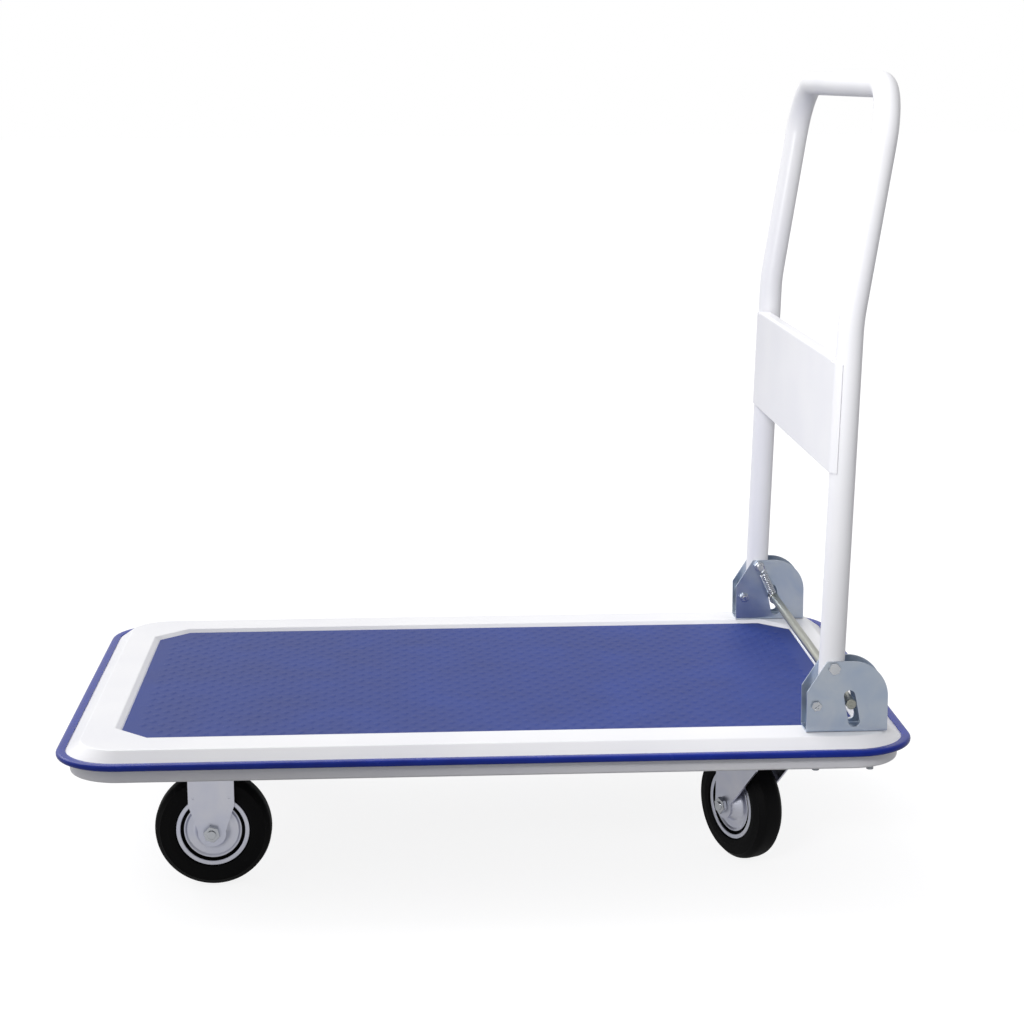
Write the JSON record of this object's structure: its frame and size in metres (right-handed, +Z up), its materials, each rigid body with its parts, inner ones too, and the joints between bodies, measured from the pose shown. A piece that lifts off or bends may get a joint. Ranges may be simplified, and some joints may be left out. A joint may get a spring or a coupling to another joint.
{
  "type": "folding platform cart",
  "caption": "Flat pressed-steel deck with a vinyl mat and edge bumper on two rigid and two swivel castors, with a looped push handle that folds down onto the deck.",
  "frame": {"origin": "on the floor under the middle of the deck's rectangle", "axes": "+X along the deck towards the handle, +Y across it, +Z up. Pieces named left are at -Y and pieces named right at +Y."},
  "size_m": [0.91, 0.61, 0.8572],
  "materials": {
    "white_paint": "white powder coat on pressed steel sheet and tube",
    "mat_vinyl": "blue PVC mat with a fine embossed diamond grain",
    "bumper_vinyl": "smooth blue PVC extrusion",
    "zinc_plate": "bright zinc-plated steel with a faint blue passivation",
    "bar_steel": "drawn steel bar, zinc-plated, slightly yellowed",
    "tyre_rubber": "black solid rubber, matt"
  },
  "bodies": {
    "deck": {"deck_pan": "white_paint", "deck_mat": "mat_vinyl", "bumper_strip": "bumper_vinyl", "front_cross_member": "white_paint", "rear_cross_member": "white_paint", "left_bracket_support": "white_paint", "left_bracket": "zinc_plate", "left_pivot_bolt": "zinc_plate", "left_pivot_nut": "zinc_plate", "left_stop_bolt": "zinc_plate", "left_stop_nut": "zinc_plate", "left_bracket_bolt_front": "zinc_plate", "left_bracket_bolt_rear": "zinc_plate", "left_bracket_nut_front": "zinc_plate", "left_bracket_nut_rear": "zinc_plate", "left_lock_spring": "zinc_plate", "front_left_fork": "zinc_plate", "front_left_axle_bolt": "zinc_plate", "front_left_axle_nut": "zinc_plate", "front_left_axle_sleeve": "zinc_plate", "rear_left_top_plate": "zinc_plate", "rear_left_ball_race": "zinc_plate", "rear_left_kingpin": "zinc_plate", "right_bracket_support": "white_paint", "right_bracket": "zinc_plate", "right_pivot_bolt": "zinc_plate", "right_pivot_nut": "zinc_plate", "right_stop_bolt": "zinc_plate", "right_stop_nut": "zinc_plate", "right_bracket_bolt_front": "zinc_plate", "right_bracket_bolt_rear": "zinc_plate", "right_bracket_nut_front": "zinc_plate", "right_bracket_nut_rear": "zinc_plate", "right_lock_spring": "zinc_plate", "front_right_fork": "zinc_plate", "front_right_axle_bolt": "zinc_plate", "front_right_axle_nut": "zinc_plate", "front_right_axle_sleeve": "zinc_plate", "rear_right_top_plate": "zinc_plate", "rear_right_ball_race": "zinc_plate", "rear_right_kingpin": "zinc_plate"},
    "handle": {"handle_tube": "white_paint", "handle_panel": "white_paint"},
    "lock_bar": {"lock_bar": "bar_steel"},
    "front_left_wheel": {"front_left_rim": "zinc_plate", "front_left_tyre": "tyre_rubber"},
    "rear_left_swivel": {"rear_left_fork": "zinc_plate", "rear_left_axle_bolt": "zinc_plate", "rear_left_axle_nut": "zinc_plate", "rear_left_axle_sleeve": "zinc_plate"},
    "rear_left_wheel": {"rear_left_rim": "zinc_plate", "rear_left_tyre": "tyre_rubber"},
    "front_right_wheel": {"front_right_rim": "zinc_plate", "front_right_tyre": "tyre_rubber"},
    "rear_right_swivel": {"rear_right_fork": "zinc_plate", "rear_right_axle_bolt": "zinc_plate", "rear_right_axle_nut": "zinc_plate", "rear_right_axle_sleeve": "zinc_plate"},
    "rear_right_wheel": {"rear_right_rim": "zinc_plate", "rear_right_tyre": "tyre_rubber"}
  },
  "joints": [
    {"name": "handle_fold", "type": "hinge", "parent": "deck", "child": "handle", "pos_m": [0.366, 0, 0.24], "axis": [0, -1, 0], "range_deg": [0, 99.5]},
    {"name": "lock_release", "type": "slide", "parent": "deck", "child": "lock_bar", "axis": [0.1908, 0, -0.9816], "range_m": [0, 0.018], "stiffness_N_per_m": 600, "springref_m": -0.02, "deforming": ["left_lock_spring", "right_lock_spring"]},
    {"name": "front_left_roll", "type": "hinge", "parent": "deck", "child": "front_left_wheel", "pos_m": [-0.294, -0.212, 0.0625], "axis": [0, 1, 0], "continuous": true},
    {"name": "front_right_roll", "type": "hinge", "parent": "deck", "child": "front_right_wheel", "pos_m": [-0.294, 0.212, 0.0625], "axis": [0, 1, 0], "continuous": true},
    {"name": "rear_left_turn", "type": "hinge", "parent": "deck", "child": "rear_left_swivel", "pos_m": [0.302, -0.203, 0.142], "axis": [0, 0, 1], "continuous": true},
    {"name": "rear_left_roll", "type": "hinge", "parent": "rear_left_swivel", "child": "rear_left_wheel", "pos_m": [0.28428, -0.16714, 0.0625], "axis": [-0.8965, -0.4431, 0], "continuous": true},
    {"name": "rear_right_turn", "type": "hinge", "parent": "deck", "child": "rear_right_swivel", "pos_m": [0.302, 0.203, 0.142], "axis": [0, 0, 1], "continuous": true},
    {"name": "rear_right_roll", "type": "hinge", "parent": "rear_right_swivel", "child": "rear_right_wheel", "pos_m": [0.28428, 0.23886, 0.0625], "axis": [-0.8965, -0.4431, 0], "continuous": true}
  ]
}
